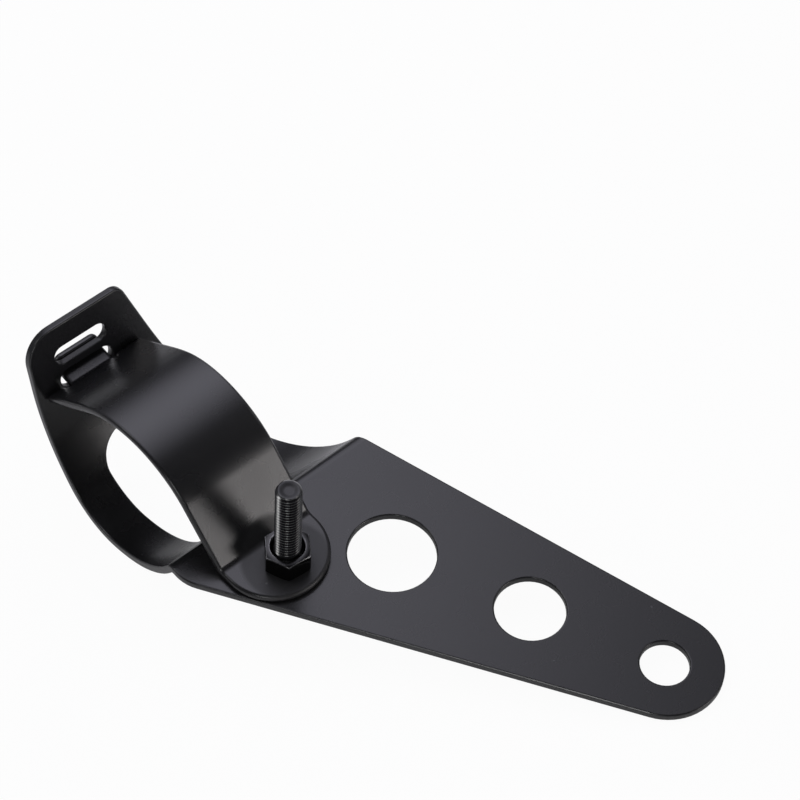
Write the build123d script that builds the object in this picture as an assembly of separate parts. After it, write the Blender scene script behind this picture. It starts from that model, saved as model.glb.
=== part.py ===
from build123d import *
import os
from math import asin, atan2, cos, degrees, radians, sin, tan

# Headlight mounting bracket that clamps on a motorcycle's fork tube: an arm folded from one sheet, a strap hooked in
# the arm's tab and bolted down on the arm, and the screw and nut that draw the two together.
# Frame: origin on the fork axis at the middle of the clamp, X forward to the lamp, Y along the fork tube, Z square to
# the arm's plate, on the strap's side. Sizes are millimetres and degrees. The steps of a bent sheet run from the
# plate towards the tab, along its mid-surface.

# Sheet and fits
sheet = 2.0
plate_level = -1.85        # height of the plate's strap-side face
strap_end_gap = 0.3        # strap shoulders to tab
hook_gap = 0.3             # bent tongue to the tab's back
screw_hole_clearance = 0.6  # hole diameter over screw diameter
thread_gap = 0.05          # nut bore to screw, all round
nut_foot_gap = 0.1265      # nut corners to the strap's foot bend

# Arm plate: a tapering tongue with a round tip and three holes in line
big_hole = 20.0
middle_hole = 16.0
lamp_hole = 11.0
big_hole_ahead = 52.5      # X of the big hole
big_hole_along = 21.0      # Y of the big hole
middle_hole_pitch = 33.3   # big hole to middle hole
lamp_hole_pitch = 31.8     # middle hole to lamp bolt hole
arm_angle = 25.0           # row of holes, turned from X towards Y
tip_radius = 13.2
free_corner_ahead = 3.4    # where the lower edge meets the free side edge, ahead of the bend
free_corner_radius = 10.0

# Band under the fork tube, then the upright tab
bend_ahead = 25.67         # X where the plate's bend begins
bend_radius = 2.5
bend_turn = 59.9
band_front_radius = 34.4
band_front_turn = 47.5
band_floor_radius = 16.3
band_floor_turn = 56.8
band_back_radius = 50.3
band_back_turn = 30.6
tab_height = 14.2          # straight top of the tab, above the band's last arc
bend_upper = 36.5          # Y of the bend's end on the arm's upper edge
upper_side_taper = 16.9    # lean of the band's and the tab's upper edge, in the flat
bend_free = -19.25         # Y of its other end, on the free side edge
free_side_taper = 1.4      # lean of the free side edge, in the flat
tab_free_corner = 7.4
tab_upper_corner = 3.2

# Window in the band, measured along the developed sheet from where the bend begins
window_start = 0.9
window_end = 54.3
window_width = 19.3
window_along = 1.25        # Y of its middle
window_corner = 6.0        # at the plate
window_far_corner = 8.9    # at the tab

# Two slots in the tab, the lower one in use
slot_length = 14.3
slot_height = 4.75
slot_along = -3.5          # Y of their middle
slot_pitch = 6.9
slot_below_top = 8.7       # tab's top edge to the middle of the upper slot

# Clamp strap
pad_reach = 8.5            # screw axis to the pad's round end
pad_width = 25.5
pad_shift = -0.5           # pad's middle from the screw axis, along Y
strap_tab_width = 26.8     # width where the strap meets the tab
strap_tab_along = -2.1     # Y of its middle there
foot_radius = 3.0
foot_turn = 48.3
crown_radius = 23.5
crown_turn = 80.5
strap_back_radius = 59.0
strap_back_turn = 4.7

# Tongue on the strap's end, bent through the slot
tongue_width = 12.0
tongue_relief = 1.3        # notch on each side of its root
tongue_radius = 2.0
tongue_lift = 43.9         # turn from the strap up to the slot
tongue_reach = 2.3         # straight run up to the middle of the slot
tongue_height = 2.3        # straight run behind the tab
tongue_corner = 1.7        # rounding of its tip

# Screw and nut
screw_ahead = 40.3         # X of the screw axis
screw_along = 0.9          # Y of the screw axis
screw_diameter = 6.0
screw_length = 32.0
screw_end_chamfer = 0.6
head_diameter = 10.5
head_height = 3.9
head_shoulder_radius = 1.9
head_shoulder_turn = 55.0
recess_span = 5.2
recess_width = 1.4
recess_floor_span = 2.0
recess_depth = 2.3
nut_flats = 10.0
nut_height = 6.0
nut_turn = 66.0            # corner direction, from Y away from X
nut_face = 9.8             # diameter of the flat inside the corner chamfers
nut_chamfer_angle = 30.0
nut_countersink = 0.8

# Lengths that only have to be long enough
cut_margin = 3.0           # reach of a cutter past the sheet
edge_margin = 0.6          # the same for a cutter along a side edge, which follows the bends
edge_points = 6            # points on each step of such a cutter
window_overlap = 1.5       # how far a window's end reaches over its strip, in corner radii


class BentLine:
    """A sheet's mid-line in the XZ plane: tangent steps of (radius, turn), or (length, 0) for a straight run."""

    def __init__(self, start, heading, steps):
        self.start = Vector(*start)
        self.heading = heading
        self.steps = steps

    @staticmethod
    def direction(heading):
        """Unit vector of a heading, in the plane's own X and Y."""
        return Vector(cos(radians(heading)), sin(radians(heading)))

    @staticmethod
    def step_length(step):
        """Developed length of a step."""
        return step[0] * radians(abs(step[1])) if step[1] else step[0]

    def length(self):
        """Developed length of the whole line."""
        return sum(self.step_length(step) for step in self.steps)

    def part(self, first, last):
        """The stretch of the line between two developed lengths."""
        steps = []
        done = 0.0
        for size, turn in self.steps:
            length = self.step_length((size, turn))
            share = max(0.0, min(last, done + length) - max(first, done)) / length
            if share > 0.0:
                steps.append((size, turn * share) if turn else (size * share, 0))
            done += length
        point, heading = self.at(first)
        return BentLine((point.X, point.Y), heading, steps)

    def edges(self, offset):
        """The line as edges, drawn at an offset to the left of travel."""
        drawn = []
        heading = self.heading
        point = self.start + self.direction(heading + 90) * offset
        for size, turn in self.steps:
            if turn:
                radius = size - offset if turn > 0 else size + offset
                drawn.append(JernArc(point, self.direction(heading), radius, turn))
            else:
                drawn.append(Line(point, point + self.direction(heading) * size))
            point = drawn[-1] @ 1
            heading += turn
        return drawn

    def at(self, length):
        """Point and heading at a developed length."""
        point = self.start
        heading = self.heading
        for size, turn in self.steps:
            share = min(1.0, length / self.step_length((size, turn)))
            if share <= 0.0:
                break
            if turn:
                side = 1 if turn > 0 else -1
                centre = point + self.direction(heading + 90 * side) * size
                heading += turn * share
                point = centre - self.direction(heading + 90 * side) * size
            else:
                point = point + self.direction(heading) * size * share
            length -= self.step_length((size, turn))
        return point, heading

    def end(self):
        """Last point of the line."""
        return self.at(self.length())[0]

    def slab(self, left, right, low, high):
        """Solid between two offsets of the line, from Y low to Y high."""
        one, other = self.edges(left), self.edges(right)
        caps = [Line(one[0] @ 0, other[0] @ 0), Line(one[-1] @ 1, other[-1] @ 1)]
        section = Plane.XZ * make_face(one + other + caps)
        return Pos(0, high, 0) * extrude(section, amount=high - low)

    def plane(self, length, along):
        """Plane that touches the line at a developed length: its x along the line, its y along Y."""
        point, heading = self.at(length)
        ahead = self.direction(heading)
        return Plane((point.X, along, point.Y), x_dir=(ahead.X, 0, ahead.Y), z_dir=(-ahead.Y, 0, ahead.X))

    def beyond(self, edge, side):
        """Solid past a side edge that is square to the sheet; edge gives its Y at a developed length."""
        stations = []
        done = 0.0
        for step in self.steps:
            length = self.step_length(step)
            stations += [done + length * i / edge_points for i in range(edge_points)]
            done += length
        rails = []
        for offset in (-sheet / 2 - edge_margin, sheet / 2 + edge_margin):
            points = []
            for station in stations + [done]:
                point, heading = self.at(station)
                point = point + self.direction(heading + 90) * offset
                points.append(Vector(point.X, edge(station), point.Y))
            rails.append(Spline(*points))
        reach = abs(edge(done) - edge(0.0)) + 2 * cut_margin
        return extrude(Face.make_surface_from_curves(*rails), amount=reach, dir=(0, side, 0))


# Arm: the plate's outline, then the band and the tab with straight side edges in the flat
row = Location((big_hole_ahead, big_hole_along, 0), (0, 0, arm_angle))
lamp_reach = middle_hole_pitch + lamp_hole_pitch
lamp_centre = (row * Pos(lamp_reach, 0)).position


def tip_heading(start, side):
    """Heading of the edge that leaves a corner of the plate and touches the round tip on its left or right."""
    way = lamp_centre - start
    return degrees(atan2(way.Y, way.X) + side * asin(tip_radius / way.length))


upper_corner = Vector(bend_ahead, bend_upper)
upper_heading = tip_heading(upper_corner, 1)


def upper_side(length):
    """Y of the blank's upper side edge at a developed length past the start of the bend."""
    return bend_upper - length * tan(radians(upper_side_taper))


def free_side(length):
    """Y of the blank's free side edge at a developed length past the start of the bend."""
    return bend_free + length * tan(radians(free_side_taper))


def plate_outline():
    """Flat outline of the arm from the bend to its round tip."""
    free_corner = Vector(bend_ahead + free_corner_ahead, free_side(-free_corner_ahead))
    lower_heading = tip_heading(free_corner, -1)
    upper_touch = lamp_centre + BentLine.direction(upper_heading + 90) * tip_radius
    lower_touch = lamp_centre + BentLine.direction(lower_heading - 90) * tip_radius
    tip = lamp_centre + BentLine.direction(arm_angle) * tip_radius
    bend_corner = Vector(bend_ahead, bend_free)
    outline = make_face([
        Line(upper_corner, upper_touch),
        ThreePointArc(upper_touch, tip, lower_touch),
        Line(lower_touch, free_corner),
        Line(free_corner, bend_corner),
        Line(bend_corner, upper_corner),
    ])
    return fillet(outline.vertices().sort_by_distance(free_corner)[0], free_corner_radius)


band = BentLine((bend_ahead, plate_level - sheet / 2), 180, [
    (bend_radius, bend_turn),
    (band_front_radius, -band_front_turn),
    (band_floor_radius, -band_floor_turn),
    (band_back_radius, -band_back_turn),
    (tab_height, 0),
])
tab_top = band.length()
upper_slot = tab_top - slot_below_top
lower_slot = upper_slot - slot_pitch


def window():
    """Cutter for the band's window: a strip that follows the band, and round-cornered ends square to the sheet."""
    low = window_along - window_width / 2
    middle = (window_start + window_end) / 2
    cutter = None
    for station, radius, inwards in ((window_start, window_corner, 1), (window_end, window_far_corner, -1)):
        corner = min(radius, 0.49 * window_width)
        lap = inwards * window_overlap * corner
        strip = band.part(min(station + lap, middle), max(station + lap, middle))
        end = Pos(lap, 0) * RectangleRounded(2 * abs(lap), window_width, corner)
        half = strip.slab(cut_margin, -cut_margin, low, low + window_width)
        half += band.plane(station, window_along) * extrude(end, corner + cut_margin, both=True)
        cutter = half if cutter is None else cutter + half
    return cutter


def bracket_arm():
    """Plate, band and tab, folded from one sheet."""
    low = min(free_side(0), free_side(tab_top)) - cut_margin
    high = max(upper_side(0), upper_side(tab_top)) + cut_margin
    folded = band.slab(sheet / 2, -sheet / 2, low, high)
    folded -= band.beyond(upper_side, 1)
    folded -= band.beyond(free_side, -1)
    for side, radius in ((upper_side, tab_upper_corner), (free_side, tab_free_corner)):
        corner = band.plane(tab_top, side(tab_top)).origin
        folded = fillet(folded.edges().sort_by_distance(corner)[0], radius)
    plate = Pos(0, 0, plate_level - sheet) * extrude(plate_outline(), sheet)
    arm = plate + folded - window()
    for station in (upper_slot, lower_slot):
        slot = extrude(Rot(0, 0, 90) * SlotOverall(slot_length, slot_height), cut_margin, both=True)
        arm -= band.plane(station, slot_along) * slot
    for place, diameter in ((0, big_hole), (middle_hole_pitch, middle_hole), (lamp_reach, lamp_hole)):
        centre = (row * Pos(place, 0)).position
        arm -= Pos(centre.X, centre.Y, plate_level) * Cylinder(diameter / 2, 2 * (sheet + cut_margin))
    return arm - screw_hole()


def screw_hole():
    """Cutter for the screw's clearance hole."""
    radius = (screw_diameter + screw_hole_clearance) / 2
    return Pos(screw_ahead, screw_along, plate_level) * Cylinder(radius, 2 * (sheet + cut_margin))


# Strap: its pad is laid out from the screw and nut, and its two straight runs take up what the clamp's size leaves,
# so that the tongue meets the lower slot
pad_ahead = screw_ahead + pad_reach
pad_along = screw_along + pad_shift
pad_length = pad_reach + nut_flats / 3**0.5 + nut_foot_gap
strap_start = (pad_ahead, plate_level + sheet / 2)
slot_middle, tab_heading = band.at(lower_slot)
end_heading = 180 - foot_turn + crown_turn + strap_back_turn


def strap_steps(leg, tail):
    """Steps of the strap from the pad's end to the root of the tongue."""
    return [
        (pad_length, 0),
        (foot_radius, -foot_turn),
        (leg, 0),
        (crown_radius, crown_turn),
        (strap_back_radius, strap_back_turn),
        (tail, 0),
    ]


def straight_runs():
    """Lengths of the strap's leg and tail that bring its tongue to the middle of the lower slot."""
    rise = [(tongue_radius, -tongue_lift), (tongue_reach, 0)]
    trial = BentLine(strap_start, 180, strap_steps(sheet, sheet) + rise)
    leg_way = BentLine.direction(180 - foot_turn)
    tail_way = BentLine.direction(end_heading)
    miss = slot_middle - trial.end()
    cross = leg_way.X * tail_way.Y - leg_way.Y * tail_way.X
    leg = sheet + (miss.X * tail_way.Y - miss.Y * tail_way.X) / cross
    tail = sheet + (leg_way.X * miss.Y - leg_way.Y * miss.X) / cross
    return leg, tail


leg_run, tail_run = straight_runs()


def strap_outline():
    """Strap seen square to the plate: a round pad end, then sides that spread to the tab."""
    middle = pad_ahead - pad_width / 2
    pad_low, pad_high = pad_along - pad_width / 2, pad_along + pad_width / 2
    tab_low, tab_high = strap_tab_along - strap_tab_width / 2, strap_tab_along + strap_tab_width / 2
    return make_face([
        ThreePointArc((middle, pad_high), (pad_ahead, pad_along), (middle, pad_low)),
        Line((middle, pad_low), (slot_middle.X, tab_low)),
        Line((slot_middle.X, tab_low), (slot_middle.X, tab_high)),
        Line((slot_middle.X, tab_high), (middle, pad_high)),
    ])


def tongue():
    """Narrow end of the strap: lifted into the lower slot, through it and up behind the tab."""
    root = BentLine(strap_start, 180, strap_steps(leg_run, tail_run))
    up_turn = end_heading - tongue_lift - tab_heading
    stand_off = sheet + hook_gap - tongue_radius * (1 - cos(radians(up_turn)))
    line = BentLine((root.end().X, root.end().Y), end_heading, [
        (tongue_radius, -tongue_lift),
        (tongue_reach + stand_off / sin(radians(up_turn)), 0),
        (tongue_radius, -up_turn),
        (tongue_height, 0),
    ])
    bent = line.slab(sheet / 2, -sheet / 2, slot_along - tongue_width / 2, slot_along + tongue_width / 2)
    for side in (-1, 1):
        corner = line.plane(line.length(), slot_along + side * tongue_width / 2).origin
        bent = fillet(bent.edges().sort_by_distance(corner)[0], tongue_corner)
    return bent


def clamp_strap():
    """Pad, arched strap and tongue, folded from one sheet."""
    long_tail = tail_run + tongue_radius + tongue_reach + sheet + cut_margin
    line = BentLine(strap_start, 180, strap_steps(leg_run, long_tail))
    root = line.length() - long_tail + tail_run
    low = min(pad_along, strap_tab_along) - pad_width - strap_tab_width
    high = max(pad_along, strap_tab_along) + pad_width + strap_tab_width
    strap = line.slab(sheet / 2, -sheet / 2, low, high)
    strap &= extrude(strap_outline(), line.length(), both=True)
    stop = band.part(window_end, tab_top)
    strap -= stop.slab(long_tail, -sheet / 2 - strap_end_gap, low, high)
    notch = tongue_width / 2 + tongue_relief
    past = line.part(root, line.length())
    strap -= past.slab(cut_margin, -cut_margin, slot_along - notch, slot_along + notch)
    return strap + tongue() - screw_hole()


def clamp_screw():
    """Pan-head screw with a cross recess, its head on the plate's outer face."""
    shoulder = radians(head_shoulder_turn)
    crown = (head_diameter / 2 - head_shoulder_radius * (1 - cos(shoulder))) / cos(shoulder)
    rim = head_height - head_shoulder_radius * sin(shoulder) - crown * (1 - sin(shoulder))
    outline = BentLine((head_diameter / 2, 0), 90, [
        (rim, 0),
        (head_shoulder_radius, head_shoulder_turn),
        (crown, 90 - head_shoulder_turn),
    ]).edges(0)
    closing = Polyline(outline[-1] @ 1, (0, 0), outline[0] @ 0)
    head = revolve(Plane.XZ * make_face(outline + closing.edges()), Axis.Z)
    for turn in (0, 90):
        mouth = Pos(0, 0, head_height) * Rectangle(recess_span, recess_width)
        floor = Pos(0, 0, head_height - recess_depth) * Rectangle(recess_floor_span, recess_width)
        head -= Rot(0, 0, turn) * loft([floor, mouth])
    shank = Pos(0, 0, -screw_length / 2) * Cylinder(screw_diameter / 2, screw_length)
    shank = chamfer(shank.edges().sort_by(Axis.Z)[0], screw_end_chamfer)
    return Pos(screw_ahead, screw_along, plate_level - sheet) * Rot(180, 0, 0) * (head + shank)


def clamp_nut():
    """Hexagon nut with both faces chamfered, on the strap's pad."""
    corner = nut_flats / 3**0.5
    drop = (corner - nut_face / 2) * tan(radians(nut_chamfer_angle))
    turned = make_face(Polyline(
        (0, 0), (nut_face / 2, 0), (corner, drop), (corner, nut_height - drop),
        (nut_face / 2, nut_height), (0, nut_height), close=True))
    nut = extrude(RegularPolygon(corner, 6, rotation=90 - nut_turn), nut_height)
    nut &= revolve(Plane.XZ * turned, Axis.Z)
    nut -= Pos(0, 0, nut_height / 2) * Cylinder(screw_diameter / 2 + thread_gap, 2 * nut_height)
    mouths = nut.edges().filter_by(GeomType.CIRCLE).group_by(SortBy.RADIUS)[0]
    nut = chamfer(mouths, nut_countersink)
    return Pos(screw_ahead, screw_along, plate_level + sheet) * nut


os.makedirs("parts", exist_ok=True)
for maker in (bracket_arm, clamp_strap, clamp_screw, clamp_nut):
    export_step(maker(), f"parts/{maker.__name__}.step")
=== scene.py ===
"""Looks of a headlight mounting bracket: satin coated sheets with softly rounded edges, a screw with a real
thread, its nut, and a pale studio floor."""
from math import radians

import bpy
import numpy as np
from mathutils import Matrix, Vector


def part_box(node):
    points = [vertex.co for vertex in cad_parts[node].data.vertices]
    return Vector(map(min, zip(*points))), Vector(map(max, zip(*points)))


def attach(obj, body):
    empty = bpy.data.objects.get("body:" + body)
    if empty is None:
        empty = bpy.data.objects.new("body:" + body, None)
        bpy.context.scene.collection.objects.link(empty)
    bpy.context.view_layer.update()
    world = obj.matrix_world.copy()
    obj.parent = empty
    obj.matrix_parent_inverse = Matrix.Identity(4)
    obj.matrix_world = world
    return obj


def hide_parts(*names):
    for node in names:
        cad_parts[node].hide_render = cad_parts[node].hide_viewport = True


bl_info = {
    "name": "Headlight Bracket Looks",
    "version": (1, 0, 0),
    "blender": (4, 5, 0),
    "location": "View3D > Sidebar > Bracket",
    "description": "Finishes the bracket's sheets, screw and nut and sets the studio round them",
    "category": "Object",
}

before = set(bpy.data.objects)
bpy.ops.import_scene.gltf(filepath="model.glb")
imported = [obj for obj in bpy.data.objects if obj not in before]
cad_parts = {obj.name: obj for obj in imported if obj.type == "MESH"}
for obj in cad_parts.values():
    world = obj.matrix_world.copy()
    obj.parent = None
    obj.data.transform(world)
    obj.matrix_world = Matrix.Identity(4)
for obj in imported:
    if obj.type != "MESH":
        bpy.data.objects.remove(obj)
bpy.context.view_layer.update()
SCREW_LOW, SCREW_HIGH = (np.array(corner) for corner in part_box("clamp_screw"))
NUT_LOW, NUT_HIGH = (np.array(corner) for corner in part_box("clamp_nut"))
ARM_LOW, ARM_HIGH = (np.array(corner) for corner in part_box("bracket_arm"))
SCREW_AXIS = np.append((SCREW_LOW + SCREW_HIGH)[:2] / 2, 0.0)

# Sizes that follow the solids, in metres
PLATE_UNDERSIDE = -0.00385  # height of the plate's outer face
BAND_LOWEST = -0.0024       # X of the band's lowest line
HEAD_SHOULDER = 0.0019      # radius of the shoulder of the pan head
HEAD_SHOULDER_TURN = radians(55)
RECESS_SPAN = 0.0052        # across the cross recess, at its mouth
RECESS_FLOOR_SPAN = 0.0020  # the same at its floor
RECESS_WIDTH = 0.0014
RECESS_DEPTH = 0.0023
RECESS_WALL = 0.00016       # how far a wall of the recess leans
NUT_PLAY = 0.00005          # nut bore to screw, all round
NUT_COUNTERSINK = 0.0008
PAD_WORN = 0.0095           # radius round the screw that tightening has dulled
PAD_FRESH = 0.0112          # radius where that dulling ends

# Sizes and grain of the finish
SHEET_GRAIN = 2600.0
PLATING_GRAIN = 4000.0
CUT_MOTTLE = 700.0
CUT_ROUGHNESS = 0.45
GRAIN_HEIGHT = 0.00004
NUT_CROWN = 130.0           # fall of the nut's faces, per metre
THREAD_CREST = 0.09         # share of half a pitch that is level at a crest
THREAD_FLANK = 0.71         # share of half a pitch that is sloped

# Studio
FLOOR_REACH = 3.0
FLOOR_GAP = 0.0002          # floor to the band's underside
CAMERA_SIDE = (0.50, -0.38, 0.78)  # direction in which the sky is dimmed
COOL = (0.96, 0.95, 1.09)
WARM = (1.03, 0.99, 0.98)
PLAIN = (1.0, 1.0, 1.0)


# Sizes and colours that a user would change

class SheetLooks(bpy.types.PropertyGroup):
    """Finish of the folded sheets."""

    arm_edge: bpy.props.FloatProperty(
        name="Arm edge", description="Radius of the arm's coated edges",
        default=0.0004, unit="LENGTH", precision=5)
    strap_edge: bpy.props.FloatProperty(
        name="Strap edge", description="Radius of the strap's coated edges",
        default=0.0009, unit="LENGTH", precision=5)
    dark: bpy.props.FloatVectorProperty(
        name="Coat", description="Colour of the coating",
        subtype="COLOR", size=4, default=(0.0085, 0.0085, 0.0088, 1.0))
    light: bpy.props.FloatVectorProperty(
        name="Coat, paler", description="Colour where the coating is paler",
        subtype="COLOR", size=4, default=(0.0130, 0.0130, 0.0135, 1.0))
    # Colour of the painted highlight along the sheets' rounded edges, also given to sparse specks
    painted_highlight_and_specks: bpy.props.FloatVectorProperty(
        name="Rubbed edge", description="Colour of the rubbed edges",
        subtype="COLOR", size=4, default=(0.045, 0.045, 0.047, 1.0))
    roughness: bpy.props.FloatProperty(
        name="Roughness", description="Mean roughness of the coating",
        subtype="FACTOR", min=0.0, max=1.0, default=0.27)
    pad_dulling: bpy.props.FloatProperty(
        name="Pad dulling", description="Roughness that tightening has added round the nut",
        subtype="FACTOR", min=0.0, max=1.0, default=0.20)


class ScrewLooks(bpy.types.PropertyGroup):
    """Thread and finish of the screw and nut."""

    pitch: bpy.props.FloatProperty(
        name="Pitch", description="Thread pitch", default=0.001, unit="LENGTH", precision=5)
    thread_depth: bpy.props.FloatProperty(
        name="Thread depth", description="Height of a thread from root to crest",
        default=0.00055, unit="LENGTH", precision=5)
    diameter: bpy.props.FloatProperty(
        name="Diameter", description="Diameter over the thread's crests",
        default=0.006, unit="LENGTH", precision=5)
    end_chamfer: bpy.props.FloatProperty(
        name="End chamfer", description="Chamfer at the screw's end",
        default=0.0006, unit="LENGTH", precision=5)
    head_height: bpy.props.FloatProperty(
        name="Head height", description="Height of the pan head",
        default=0.0039, unit="LENGTH", precision=5)
    nut_flats: bpy.props.FloatProperty(
        name="Nut flats", description="Width of the nut across its flats",
        default=0.010, unit="LENGTH", precision=5)
    nut_turn: bpy.props.FloatProperty(
        name="Nut turn", description="Direction of a corner of the nut",
        default=radians(24), subtype="ANGLE")
    nut_edge_round: bpy.props.FloatProperty(
        name="Nut edge round", description="Radius of the nut's edges",
        default=0.0002, unit="LENGTH", precision=5)
    dark: bpy.props.FloatVectorProperty(
        name="Plating", description="Colour of the black plating",
        subtype="COLOR", size=4, default=(0.095, 0.095, 0.095, 1.0))
    light: bpy.props.FloatVectorProperty(
        name="Plating, paler", description="Colour where the plating is paler",
        subtype="COLOR", size=4, default=(0.135, 0.135, 0.135, 1.0))
    nut_dark: bpy.props.FloatVectorProperty(
        name="Nut plating", description="Colour of the nut's plating",
        subtype="COLOR", size=4, default=(0.031, 0.031, 0.031, 1.0))
    nut_light: bpy.props.FloatVectorProperty(
        name="Nut plating, paler", description="Colour where the nut's plating is paler",
        subtype="COLOR", size=4, default=(0.043, 0.043, 0.043, 1.0))
    cut_dark: bpy.props.FloatVectorProperty(
        name="Cut end", description="Colour of the screw's cut end",
        subtype="COLOR", size=4, default=(0.010, 0.010, 0.011, 1.0))
    cut_light: bpy.props.FloatVectorProperty(
        name="Cut end, paler", description="Colour where the cut end is paler",
        subtype="COLOR", size=4, default=(0.022, 0.022, 0.024, 1.0))
    # Colour of the painted glints along the screw's and nut's rounded edges, also given to sparse specks
    painted_highlight_and_specks: bpy.props.FloatVectorProperty(
        name="Rubbed edge", description="Colour where the plating is rubbed",
        subtype="COLOR", size=4, default=(0.30, 0.30, 0.30, 1.0))
    roughness: bpy.props.FloatProperty(
        name="Roughness", description="Mean roughness of the plating",
        subtype="FACTOR", min=0.0, max=1.0, default=0.13)


class StageLooks(bpy.types.PropertyGroup):
    """Camera, floor and lamps."""

    camera_place: bpy.props.FloatVectorProperty(
        name="Camera", description="Place of the camera",
        subtype="TRANSLATION", size=3, default=(0.317371, -0.237101, 0.578024))
    camera_turn: bpy.props.FloatVectorProperty(
        name="Camera turn", description="Turn of the camera",
        subtype="EULER", size=3, default=(radians(35.2797), radians(-2.4195), radians(49.2737)))
    lens: bpy.props.FloatProperty(name="Lens", description="Focal length in millimetres", default=139.5)
    floor: bpy.props.FloatVectorProperty(
        name="Floor", description="Colour of the floor",
        subtype="COLOR", size=4, default=(0.85, 0.85, 0.85, 1.0))
    paleness: bpy.props.FloatProperty(
        name="Paleness", description="How far the floor is lifted to white, against the shadow on it",
        subtype="FACTOR", min=0.0, max=1.0, default=0.96)
    mirrored: bpy.props.FloatProperty(
        name="Mirrored paleness",
        description="How far the floor is lifted to white where the coating mirrors it",
        subtype="FACTOR", min=0.0, max=1.0, default=0.26)
    back_power: bpy.props.FloatProperty(
        name="Back lamp", description="Power of the soft box above and behind",
        default=3.5, unit="POWER")
    side_power: bpy.props.FloatProperty(
        name="Side lamp", description="Power of the low soft box beside the arm's tip",
        default=6.0, unit="POWER")
    left_power: bpy.props.FloatProperty(
        name="Left lamp", description="Power of the soft box on the left",
        default=4.2, unit="POWER")
    front_power: bpy.props.FloatProperty(
        name="Front lamp", description="Power of the low soft box in front",
        default=3.8, unit="POWER")
    right_power: bpy.props.FloatProperty(
        name="Right lamp", description="Power of the soft box on the right",
        default=0.8, unit="POWER")
    sky: bpy.props.FloatVectorProperty(
        name="Sky", description="Colour of the even light",
        subtype="COLOR", size=4, default=(0.17, 0.17, 0.19, 1.0))


# Node helpers

def add_node(tree, kind, values=None, **settings):
    """Add a node, with its own settings and the values of its free sockets, by name or by number."""
    node = tree.nodes.new(kind)
    for name, value in settings.items():
        setattr(node, name, value)
    for socket, value in (values or {}).items():
        node.inputs[socket].default_value = value
    return node


def link_nodes(tree, *pairs):
    """Link each (output socket, input socket) pair."""
    for output, inlet in pairs:
        tree.links.new(output, inlet)


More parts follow.
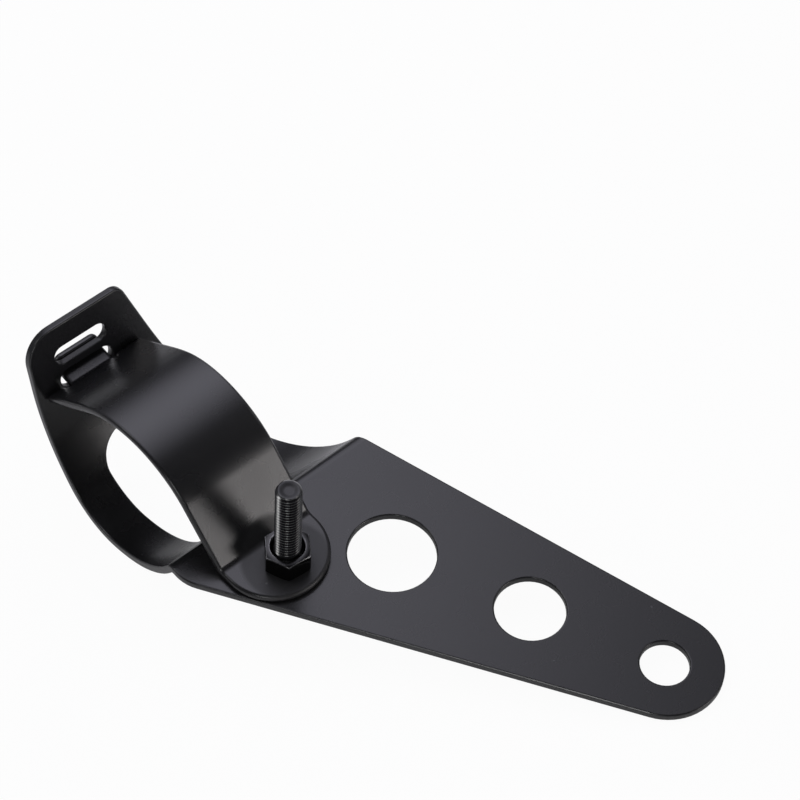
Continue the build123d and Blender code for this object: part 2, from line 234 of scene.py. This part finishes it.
def coat_group():
    """Shared effect over Object coordinates: fine grain, broad mottling, a painted highlight along rounded
    edges and sparse specks.
    """
    name = "coat_texture"
    if name in bpy.data.node_groups:
        return bpy.data.node_groups[name]
    tree = bpy.data.node_groups.new(name, "ShaderNodeTree")
    for label, kind, value in (
        ("Dark", "NodeSocketColor", (0.03, 0.03, 0.03, 1.0)),
        ("Light", "NodeSocketColor", (0.05, 0.05, 0.05, 1.0)),
        ("Painted Highlight And Specks", "NodeSocketColor", (0.1, 0.1, 0.1, 1.0)),
        ("Roughness", "NodeSocketFloat", 0.35),
        ("Roughness Spread", "NodeSocketFloat", 0.08),
        ("Grain Scale", "NodeSocketFloat", SHEET_GRAIN),
        ("Mottle Scale", "NodeSocketFloat", 90.0),
        ("Speck Scale", "NodeSocketFloat", 260.0),
        ("Edge Radius", "NodeSocketFloat", 0.0005),
    ):
        tree.interface.new_socket(label, in_out="INPUT", socket_type=kind).default_value = value
    tree.interface.new_socket("Colour", in_out="OUTPUT", socket_type="NodeSocketColor")
    tree.interface.new_socket("Roughness", in_out="OUTPUT", socket_type="NodeSocketFloat")
    tree.interface.new_socket("Height", in_out="OUTPUT", socket_type="NodeSocketFloat")
    given = add_node(tree, "NodeGroupInput").outputs
    out = add_node(tree, "NodeGroupOutput").inputs
    place = add_node(tree, "ShaderNodeTexCoord").outputs["Object"]

    mottle = add_node(tree, "ShaderNodeTexNoise", {"Detail": 3.0})
    grain = add_node(tree, "ShaderNodeTexNoise", {"Detail": 2.0})
    shade = add_node(tree, "ShaderNodeMix", data_type="RGBA")
    link_nodes(
        tree, (place, mottle.inputs["Vector"]), (given["Mottle Scale"], mottle.inputs["Scale"]),
        (place, grain.inputs["Vector"]), (given["Grain Scale"], grain.inputs["Scale"]),
        (grain.outputs["Fac"], out["Height"]),
        (mottle.outputs["Fac"], shade.inputs[0]), (given["Dark"], shade.inputs[6]),
        (given["Light"], shade.inputs[7]))

    speck = add_node(tree, "ShaderNodeTexVoronoi")
    speck_on = add_node(tree, "ShaderNodeMapRange", {"From Min": 0.085, "From Max": 0.055})
    apart = add_node(tree, "ShaderNodeSeparateColor")
    rare = add_node(tree, "ShaderNodeMath", {1: 0.80}, operation="GREATER_THAN")
    speck_mask = add_node(tree, "ShaderNodeMath", operation="MULTIPLY")
    link_nodes(
        tree, (place, speck.inputs["Vector"]), (given["Speck Scale"], speck.inputs["Scale"]),
        (speck.outputs["Distance"], speck_on.inputs["Value"]),
        (speck.outputs["Color"], apart.inputs["Color"]), (apart.outputs["Red"], rare.inputs[0]),
        (speck_on.outputs["Result"], speck_mask.inputs[0]), (rare.outputs["Value"], speck_mask.inputs[1]))

    # Painted highlight: where the Bevel node's rounded normal turns from the face's own, the colour is
    # lifted, patchily, towards the highlight colour
    soft = add_node(tree, "ShaderNodeBevel", samples=6)
    plain = add_node(tree, "ShaderNodeNewGeometry")
    turn = add_node(tree, "ShaderNodeVectorMath", operation="DOT_PRODUCT")
    edge = add_node(tree, "ShaderNodeMapRange", {"From Min": 0.985, "From Max": 0.80})
    patchy_highlight = add_node(tree, "ShaderNodeMath", operation="MULTIPLY")
    either = add_node(tree, "ShaderNodeMath", operation="MAXIMUM")
    highlight_and_speck_mix = add_node(tree, "ShaderNodeMix", data_type="RGBA")
    link_nodes(
        tree, (given["Edge Radius"], soft.inputs["Radius"]), (soft.outputs["Normal"], turn.inputs[0]),
        (plain.outputs["Normal"], turn.inputs[1]), (turn.outputs["Value"], edge.inputs["Value"]),
        (edge.outputs["Result"], patchy_highlight.inputs[0]), (mottle.outputs["Fac"], patchy_highlight.inputs[1]),
        (patchy_highlight.outputs["Value"], either.inputs[0]), (speck_mask.outputs["Value"], either.inputs[1]),
        (either.outputs["Value"], highlight_and_speck_mix.inputs[0]), (shade.outputs[2], highlight_and_speck_mix.inputs[6]),
        (given["Painted Highlight And Specks"], highlight_and_speck_mix.inputs[7]), (highlight_and_speck_mix.outputs[2], out["Colour"]))

    middle = add_node(tree, "ShaderNodeMath", {1: 0.5}, operation="SUBTRACT")
    rough = add_node(tree, "ShaderNodeMath", operation="MULTIPLY_ADD")
    link_nodes(
        tree, (mottle.outputs["Fac"], middle.inputs[0]), (middle.outputs["Value"], rough.inputs[0]),
        (given["Roughness Spread"], rough.inputs[1]), (given["Roughness"], rough.inputs[2]),
        (rough.outputs["Value"], out["Roughness"]))
    return tree


def finish_material(name, values, bump=None, metallic=0.0):
    """Material with colour, roughness and, where bump is given, grain from the shared group."""
    material = bpy.data.materials.new(name)
    material.use_nodes = True
    tree = material.node_tree
    shader = tree.nodes["Principled BSDF"]
    shader.inputs["Metallic"].default_value = metallic
    group = add_node(tree, "ShaderNodeGroup", node_tree=coat_group())
    for label, value in values.items():
        group.inputs[label].default_value = value
    link_nodes(
        tree, (group.outputs["Colour"], shader.inputs["Base Color"]),
        (group.outputs["Roughness"], shader.inputs["Roughness"]))
    if bump is not None:
        relief = add_node(tree, "ShaderNodeBump", {"Strength": bump, "Distance": GRAIN_HEIGHT})
        link_nodes(
            tree, (group.outputs["Height"], relief.inputs["Height"]),
            (relief.outputs["Normal"], shader.inputs["Normal"]))
    return material


def dull_round(material, axis, inner, outer, amount):
    """Add roughness to a finish round an upright axis: the whole amount up to the inner radius, none from the
    outer."""
    tree = material.node_tree
    shader = tree.nodes["Principled BSDF"]
    base = shader.inputs["Roughness"].links[0].from_socket
    place = add_node(tree, "ShaderNodeTexCoord")
    level = add_node(tree, "ShaderNodeVectorMath", {1: (1.0, 1.0, 0.0)}, operation="MULTIPLY")
    away = add_node(tree, "ShaderNodeVectorMath", {1: (axis[0], axis[1], 0.0)}, operation="DISTANCE")
    fall = add_node(
        tree, "ShaderNodeMapRange", {"From Min": inner, "From Max": outer, "To Min": amount, "To Max": 0.0},
        interpolation_type="SMOOTHSTEP")
    total = add_node(tree, "ShaderNodeMath", operation="ADD")
    link_nodes(
        tree, (place.outputs["Object"], level.inputs[0]), (level.outputs["Vector"], away.inputs[0]),
        (away.outputs["Value"], fall.inputs["Value"]), (fall.outputs["Result"], total.inputs[0]),
        (base, total.inputs[1]), (total.outputs["Value"], shader.inputs["Roughness"]))


def fade_to_rim(lamp):
    """Let a soft box fade smoothly from its middle to its rim."""
    lamp.use_nodes = True
    tree = lamp.node_tree
    place = add_node(tree, "ShaderNodeNewGeometry")
    away = add_node(tree, "ShaderNodeVectorMath", {1: (0.5, 0.5, 0.0)}, operation="DISTANCE")
    fade = add_node(
        tree, "ShaderNodeMapRange", {"From Max": 0.5, "To Min": 1.0, "To Max": 0.0},
        interpolation_type="SMOOTHSTEP")
    link_nodes(
        tree, (place.outputs["Parametric"], away.inputs[0]), (away.outputs["Value"], fade.inputs["Value"]),
        (fade.outputs["Result"], tree.nodes["Emission"].inputs["Strength"]))


def dress(piece, material):
    """Give a piece one material."""
    piece.data.materials.clear()
    piece.data.materials.append(material)


def join_facets(node):
    """Join the loose facets of a CAD node with live modifiers, so that its edges can be rounded."""
    weld = node.modifiers.new("join facets", "WELD")
    weld.merge_threshold = 1e-6
    flat = node.modifiers.new("clear flat faces", "DECIMATE")
    flat.decimate_type = "DISSOLVE"
    flat.angle_limit = radians(0.3)


def round_edges(node, radius):
    """Round sharp edges with live modifiers, and shade the rest smooth."""
    bevel = node.modifiers.new("round edges", "BEVEL")
    bevel.width = radius
    bevel.segments = 3
    bevel.limit_method = "ANGLE"
    bevel.angle_limit = radians(35)
    bevel.use_clamp_overlap = False
    bevel.harden_normals = True
    bevel.miter_outer = "MITER_ARC"
    shade = node.modifiers.new("even shading", "WEIGHTED_NORMAL")
    shade.keep_sharp = True


# Surfaces of the new pieces

def quads(index, wrap=True, loop=False):
    """Corner numbers of the faces between neighbours in an array of point numbers: columns close into a ring
    if wrap, rows if loop."""
    ahead, beside = np.roll(index, -1, axis=0), np.roll(index, -1, axis=1)
    faces = np.stack([index, beside, np.roll(ahead, -1, axis=1), ahead], -1)
    faces = faces if loop else faces[:-1]
    faces = faces if wrap else faces[:, :-1]
    return faces.reshape(-1, 4)


def smooth_mesh(name, points, faces):
    """Smoothly shaded mesh from points (count, 3) and a list of faces."""
    mesh = bpy.data.meshes.new(name)
    mesh.from_pydata(points.tolist(), [], faces)
    mesh.polygons.foreach_set("use_smooth", np.ones(len(mesh.polygons), bool))
    return mesh


def grid_mesh(name, points, wrap=True, loop=False):
    """Mesh from an array of points (rows, columns, 3), with one quad between neighbours."""
    index = np.arange(points.shape[0] * points.shape[1]).reshape(points.shape[:2])
    return smooth_mesh(name, points.reshape(-1, 3), quads(index, wrap, loop).tolist())


def turned_mesh(name, shells):
    """One mesh from shells of rings about an axis: each shell is an array (rings, columns, 3), and its first
    and last ring are closed by a fan to their middle. Ring i joins ring i + 1 with quads that face away from
    the axis."""
    points, faces = [], []
    start = 0
    for shell in shells:
        rings, columns = shell.shape[:2]
        index = start + np.arange(rings * columns).reshape(rings, columns)
        beside = np.roll(index, -1, axis=1)
        first = start + rings * columns
        last = first + 1
        near = np.stack([beside[0], index[0], np.full(columns, first)], -1)
        far = np.stack([index[-1], beside[-1], np.full(columns, last)], -1)
        points += [shell.reshape(-1, 3), shell[0].mean(0)[None], shell[-1].mean(0)[None]]
        faces += quads(index).tolist() + near.tolist() + far.tolist()
        start = last + 1
    return smooth_mesh(name, np.concatenate(points), faces)


def ramp(value, low, high):
    """Rise from 0 at low to 1 at high, softened at both ends by the cubic 3t squared less 2t cubed."""
    t = np.clip((value - low) / (high - low), 0.0, 1.0)
    return t * t * (3 - 2 * t)


def turned_points(radius, height, angle):
    """Points at a radius and a height above a turned profile, for each angle."""
    return np.stack([radius * np.cos(angle), radius * np.sin(angle), height], -1)


def shank_points(radius, bottom, top, chamfer, pitch, depth, columns=96, per_pitch=20):
    """Threaded shank: at each height and angle the radius is the crest radius less the depth times a
    trapezium wave, whose phase is the height over the pitch less the angle over a full turn, so that the
    crest climbs one pitch a turn. The end's chamfer is a cone, and the lesser of the two radii holds. The end
    closes inwards as a shallow dish."""
    heights = np.linspace(bottom, top, int((top - bottom) / pitch * per_pitch) + 1)
    angles = np.linspace(0, 2 * np.pi, columns, endpoint=False)
    height, angle = np.meshgrid(heights, angles, indexing="ij")
    phase = (height / pitch - angle / (2 * np.pi)) % 1.0
    wave = np.clip((np.abs(2 * phase - 1) - THREAD_CREST) / THREAD_FLANK, 0.0, 1.0)
    cone = radius - chamfer + (top - height)
    around = np.minimum(radius - depth * wave, cone)
    share = np.linspace(1.0, 0.06, 16)[1:, None]
    dish = around[-1] * share
    sunk = 0.12 * radius * ramp(1 - share, 0.08, 0.6)
    around = np.concatenate([around, dish])
    height = np.concatenate([height, np.broadcast_to(top - sunk, dish.shape)])
    angle = np.concatenate([angle, np.broadcast_to(angle[-1], dish.shape)])
    return turned_points(around, height, angle)


def nut_points(flats, height, turn, bore, sink, columns=96):
    """Hexagon nut about its axis: at each angle the outside lies at half the flats over the cosine of the
    angle from the middle of its flat. Both faces are crowned: they fall off with the square of the distance
    outside the countersunk mouth. A cone leads from each mouth to the bore."""
    angles = turn + np.linspace(0, 2 * np.pi, columns, endpoint=False)
    hexagon = flats / 2 / np.cos((angles - turn) % (np.pi / 3) - np.pi / 6)
    mouth = bore + sink
    reach = mouth + (hexagon - mouth) * np.linspace(0, 1, 14)[:, None]
    crown = NUT_CROWN * (reach - mouth) ** 2
    side = np.linspace(0, 1, 8)[1:-1, None]
    walls = crown[-1] + (height - 2 * crown[-1]) * side
    halfway = mouth - 0.5 * sink
    inner = np.array([halfway, bore, bore, bore, halfway])[:, None] + 0 * hexagon
    drop = np.array([0.5 * sink, sink, height / 2, height - sink, height - 0.5 * sink])[:, None] + 0 * hexagon
    around = np.concatenate([reach, hexagon + 0 * walls, reach[::-1], inner])
    level = np.concatenate([crown, walls, height - crown[::-1], height - drop])
    return turned_points(around, level, angles + 0 * around)


def head_points(radius, seat, depth, shoulder, turn, columns=192):
    """Pan head below its seat: an underside, a straight rim, a shoulder arc and a shallow crown about one
    axis, with a cross recess sunk in the crown. Each arm of the cross is a band across the middle; its floor
    is level near the axis and slopes up to the crown, and its depth falls off over a narrow wall."""
    crown = (radius - shoulder * (1 - np.cos(turn))) / np.cos(turn)
    rim = depth - shoulder * np.sin(turn) - crown * (1 - np.sin(turn))
    arc = np.linspace(0, turn, 16)
    dome = np.linspace(turn, np.pi / 2, 110)[1:-1]
    around = np.concatenate([
        radius * np.array([0.3, 0.6, 0.9, 0.98, 1.0]), [radius, radius],
        radius - shoulder * (1 - np.cos(arc)), crown * np.cos(dome)])
    below = np.concatenate([
        np.zeros(5), [rim * 0.1, rim * 0.9], rim + shoulder * np.sin(arc),
        rim + shoulder * np.sin(turn) + crown * (np.sin(dome) - np.sin(turn))])
    angles = np.linspace(0, 2 * np.pi, columns, endpoint=False)
    around, angle = np.meshgrid(around, angles, indexing="ij")
    below = np.broadcast_to(below[:, None], around.shape)
    x, y = around * np.cos(angle), around * np.sin(angle)
    run = (RECESS_SPAN - RECESS_FLOOR_SPAN) / 2
    slope = [
        RECESS_DEPTH * np.clip((RECESS_SPAN / 2 - np.abs(u)) / run, 0, 1)
        * (1 - ramp(np.abs(v), RECESS_WIDTH / 2 - RECESS_WALL, RECESS_WIDTH / 2))
        for u, v in ((x, y), (y, x))
    ]
    recess = np.where(below > rim, np.maximum(*slope), 0.0)
    lowest = np.minimum(below, depth - recess)
    return turned_points(around, seat - lowest, angle)[:, ::-1]


# Operators

class BRACKET_OT_coat_sheets(bpy.types.Operator):
    """Coat the folded arm and the strap and round their edges"""

    bl_idname = "bracket.coat_sheets"
    bl_label = "Coat Sheets"

    def execute(self, context):
        looks = context.scene.bracket_sheets
        for name, edge in (("bracket_arm", looks.arm_edge), ("clamp_strap", looks.strap_edge)):
            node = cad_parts[name]
            # The group paints a highlight colour along the sheets' rounded edges
            material = finish_material(name + " coating", {
                "Dark": looks.dark, "Light": looks.light, "Painted Highlight And Specks": looks.painted_highlight_and_specks,
                "Roughness": looks.roughness, "Grain Scale": SHEET_GRAIN, "Edge Radius": edge * 1.6,
            }, bump=0.35)
            if name == "clamp_strap":
                dull_round(material, SCREW_AXIS, PAD_WORN, PAD_FRESH, looks.pad_dulling)
            join_facets(node)
            round_edges(node, edge)
            dress(node, material)
        return {"FINISHED"}


class BRACKET_OT_make_screw(bpy.types.Operator):
    """Make the clamp screw with its thread and cross recess, in place of the plain one"""

    bl_idname = "bracket.make_screw"
    bl_label = "Make Screw"

    def execute(self, context):
        looks = context.scene.bracket_screw
        seat = SCREW_LOW[2] + looks.head_height
        shank = shank_points(
            looks.diameter / 2, seat - looks.head_height / 4, SCREW_HIGH[2], looks.end_chamfer, looks.pitch,
            looks.thread_depth)
        head = head_points(
            (SCREW_HIGH[0] - SCREW_LOW[0]) / 2, seat, looks.head_height, HEAD_SHOULDER, HEAD_SHOULDER_TURN)
        mesh = turned_mesh("threaded_screw", [shank + SCREW_AXIS, head + SCREW_AXIS])
        screw = bpy.data.objects.new("threaded_screw", mesh)
        context.scene.collection.objects.link(screw)
        # The group paints glints along the screw's rounded edges, and along those of its cut end
        dress(screw, finish_material("black plated screw", {
            "Dark": looks.dark, "Light": looks.light, "Painted Highlight And Specks": looks.painted_highlight_and_specks,
            "Roughness": looks.roughness, "Grain Scale": PLATING_GRAIN, "Edge Radius": looks.nut_edge_round,
        }, bump=0.15, metallic=1.0))
        mesh.materials.append(finish_material("cut screw end", {
            "Dark": looks.cut_dark, "Light": looks.cut_light, "Painted Highlight And Specks": looks.painted_highlight_and_specks,
            "Roughness": CUT_ROUGHNESS, "Mottle Scale": CUT_MOTTLE,
        }))
        self.mark_cut_end(mesh, looks)
        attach(screw, "root")
        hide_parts("clamp_screw")
        return {"FINISHED"}

    def mark_cut_end(self, mesh, looks):
        """Give the second material to the faces inside the chamfer at the screw's end."""
        middles = np.empty(len(mesh.polygons) * 3)
        mesh.polygons.foreach_get("center", middles)
        x, y, z = (middles.reshape(-1, 3) - SCREW_AXIS).T
        inside = np.hypot(x, y) < looks.diameter / 2 - looks.end_chamfer * 1.05
        cut = inside & (z > SCREW_HIGH[2] - looks.end_chamfer)
        mesh.polygons.foreach_set("material_index", cut.astype(np.int32))


class BRACKET_OT_make_nut(bpy.types.Operator):
    """Make the clamp nut with crowned faces, in place of the plain one"""

    bl_idname = "bracket.make_nut"
    bl_label = "Make Nut"

    def execute(self, context):
        looks = context.scene.bracket_screw
        points = nut_points(
            looks.nut_flats, NUT_HIGH[2] - NUT_LOW[2], looks.nut_turn, looks.diameter / 2 + NUT_PLAY,
            NUT_COUNTERSINK)
        place = SCREW_AXIS + np.array([0.0, 0.0, NUT_LOW[2]])
        nut = bpy.data.objects.new("crowned_nut", grid_mesh("crowned_nut", points + place, loop=True))
        context.scene.collection.objects.link(nut)
        round_edges(nut, looks.nut_edge_round)
        # The group paints glints along the nut's rounded edges
        dress(nut, finish_material("black plated nut", {
            "Dark": looks.nut_dark, "Light": looks.nut_light, "Painted Highlight And Specks": looks.painted_highlight_and_specks,
            "Roughness": looks.roughness, "Grain Scale": PLATING_GRAIN,
            "Edge Radius": looks.nut_edge_round * 1.5,
        }, bump=0.2, metallic=1.0))
        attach(nut, "root")
        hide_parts("clamp_nut")
        return {"FINISHED"}


class BRACKET_OT_set_stage(bpy.types.Operator):
    """Set the camera, the floor, the sky and the lamps"""

    bl_idname = "bracket.set_stage"
    bl_label = "Set Stage"

    def execute(self, context):
        looks = context.scene.bracket_stage
        scene = context.scene
        scene.view_settings.view_transform = "Standard"
        view = bpy.data.cameras.new("photo view")
        view.lens = looks.lens
        view.sensor_width = 36.0
        camera = bpy.data.objects.new("photo view", view)
        camera.location = looks.camera_place
        camera.rotation_euler = looks.camera_turn
        scene.collection.objects.link(camera)
        scene.camera = camera
        self.add_floor(scene, looks)
        self.add_sky(scene, looks)
        self.add_lamps(scene, looks)
        return {"FINISHED"}

    def add_floor(self, scene, looks):
        """Plane that the band's underside and the arm's tip rest on, clear when seen from below."""
        slope = (PLATE_UNDERSIDE - ARM_LOW[2]) / (ARM_HIGH[0] - BAND_LOWEST)
        across = np.array([-FLOOR_REACH, FLOOR_REACH])
        x, y = np.meshgrid(across, across)
        z = ARM_LOW[2] + slope * (x - BAND_LOWEST) - FLOOR_GAP
        floor = bpy.data.objects.new("floor", grid_mesh("floor", np.stack([x, y, z], -1), wrap=False))
        material = bpy.data.materials.new("pale floor")
        material.use_nodes = True
        tree = material.node_tree
        shader = tree.nodes["Principled BSDF"]
        shader.inputs["Base Color"].default_value = looks.floor
        shader.inputs["Roughness"].default_value = 0.9
        seen = add_node(tree, "ShaderNodeLightPath").outputs
        straight = add_node(tree, "ShaderNodeMath", {1: looks.paleness}, operation="MULTIPLY")
        bent = add_node(tree, "ShaderNodeMath", operation="MAXIMUM")
        share = add_node(tree, "ShaderNodeMath", {1: looks.mirrored}, operation="MULTIPLY_ADD")
        white = add_node(tree, "ShaderNodeEmission")
        pale = add_node(tree, "ShaderNodeMixShader")
        under = add_node(tree, "ShaderNodeNewGeometry")
        clear = add_node(tree, "ShaderNodeBsdfTransparent")
        either = add_node(tree, "ShaderNodeMixShader")
        link_nodes(
            tree, (seen["Is Camera Ray"], straight.inputs[0]), (seen["Is Glossy Ray"], bent.inputs[0]),
            (seen["Is Transmission Ray"], bent.inputs[1]), (bent.outputs["Value"], share.inputs[0]),
            (straight.outputs["Value"], share.inputs[2]), (share.outputs["Value"], pale.inputs["Fac"]),
            (shader.outputs["BSDF"], pale.inputs[1]), (white.outputs["Emission"], pale.inputs[2]),
            (under.outputs["Backfacing"], either.inputs["Fac"]), (pale.outputs["Shader"], either.inputs[1]),
            (clear.outputs["BSDF"], either.inputs[2]),
            (either.outputs["Shader"], tree.nodes["Material Output"].inputs["Surface"]))
        dress(floor, material)
        scene.collection.objects.link(floor)

    def add_sky(self, scene, looks):
        """Even light that is dimmer on the camera's side, and white where the camera sees past the floor."""
        world = bpy.data.worlds.new("studio")
        world.use_nodes = True
        scene.world = world
        tree = world.node_tree
        sky = tree.nodes["Background"]
        sky.inputs["Color"].default_value = looks.sky
        way = add_node(tree, "ShaderNodeTexCoord")
        near = add_node(tree, "ShaderNodeVectorMath", {1: CAMERA_SIDE}, operation="DOT_PRODUCT")
        dim = add_node(
            tree, "ShaderNodeMapRange", {"From Min": 0.45, "From Max": 0.85, "To Min": 1.0, "To Max": 0.25},
            interpolation_type="SMOOTHSTEP")
        white = add_node(tree, "ShaderNodeBackground", {"Color": (1.0, 1.0, 1.0, 1.0)})
        seen = add_node(tree, "ShaderNodeLightPath")
        either = add_node(tree, "ShaderNodeMixShader")
        link_nodes(
            tree, (way.outputs["Generated"], near.inputs[0]), (near.outputs["Value"], dim.inputs["Value"]),
            (dim.outputs["Result"], sky.inputs["Strength"]),
            (seen.outputs["Is Camera Ray"], either.inputs["Fac"]),
            (sky.outputs["Background"], either.inputs[1]), (white.outputs["Background"], either.inputs[2]),
            (either.outputs["Shader"], tree.nodes["World Output"].inputs["Surface"]))

    def add_lamps(self, scene, looks):
        """Soft boxes behind, beside the arm's tip, on the left, in front and on the right, aimed at X."""
        for name, power, colour, size, place, aim in (
            ("back lamp", looks.back_power, COOL, (0.60, 0.85), (-0.185, 0.12, 0.33), 0.0),
            ("side lamp", looks.side_power, WARM, (0.60, 0.39), (0.75, 0.34, 0.205), 0.02),
            ("left lamp", looks.left_power, PLAIN, (0.50, 0.50), (-0.42, -0.42, 0.57), 0.03),
            ("front lamp", looks.front_power, PLAIN, (0.40, 0.28), (0.45, -0.55, 0.36), 0.03),
            ("right lamp", looks.right_power, PLAIN, (0.35, 0.35), (0.27, 0.50, 0.55), 0.03),
        ):
            lamp = bpy.data.lights.new(name, "AREA")
            lamp.energy = power
            lamp.color = colour
            lamp.shape = "RECTANGLE"
            lamp.size, lamp.size_y = size
            fade_to_rim(lamp)
            box = bpy.data.objects.new(name, lamp)
            box.location = place
            box.rotation_mode = "QUATERNION"
            box.rotation_quaternion = (Vector((aim, 0.0, 0.0)) - box.location).to_track_quat("-Z", "Y")
            box.visible_camera = False
            scene.collection.objects.link(box)


class BRACKET_PT_looks(bpy.types.Panel):
    """Sizes, colours and steps of the bracket's looks"""

    bl_idname = "BRACKET_PT_looks"
    bl_label = "Bracket"
    bl_space_type = "VIEW_3D"
    bl_region_type = "UI"
    bl_category = "Bracket"

    def draw(self, context):
        for group, operators in (
            ("bracket_sheets", ("bracket.coat_sheets",)),
            ("bracket_screw", ("bracket.make_screw", "bracket.make_nut")),
            ("bracket_stage", ("bracket.set_stage",)),
        ):
            held = getattr(context.scene, group)
            box = self.layout.box()
            for prop in type(held).__annotations__:
                box.prop(held, prop)
            for operator in operators:
                box.operator(operator)


CLASSES = (
    SheetLooks, ScrewLooks, StageLooks, BRACKET_OT_coat_sheets, BRACKET_OT_make_screw, BRACKET_OT_make_nut,
    BRACKET_OT_set_stage, BRACKET_PT_looks,
)
GROUPS = {"bracket_sheets": SheetLooks, "bracket_screw": ScrewLooks, "bracket_stage": StageLooks}


def register():
    """Register the classes and hang their sizes and colours on the scene."""
    for cls in CLASSES:
        bpy.utils.register_class(cls)
    for name, group in GROUPS.items():
        setattr(bpy.types.Scene, name, bpy.props.PointerProperty(type=group))


def unregister():
    """Undo register."""
    for name in GROUPS:
        delattr(bpy.types.Scene, name)
    for cls in reversed(CLASSES):
        bpy.utils.unregister_class(cls)


def main():
    """Run every step in order."""
    register()
    bpy.ops.bracket.coat_sheets()
    bpy.ops.bracket.make_screw()
    bpy.ops.bracket.make_nut()
    bpy.ops.bracket.set_stage()


if __name__ == "__main__":
    main()
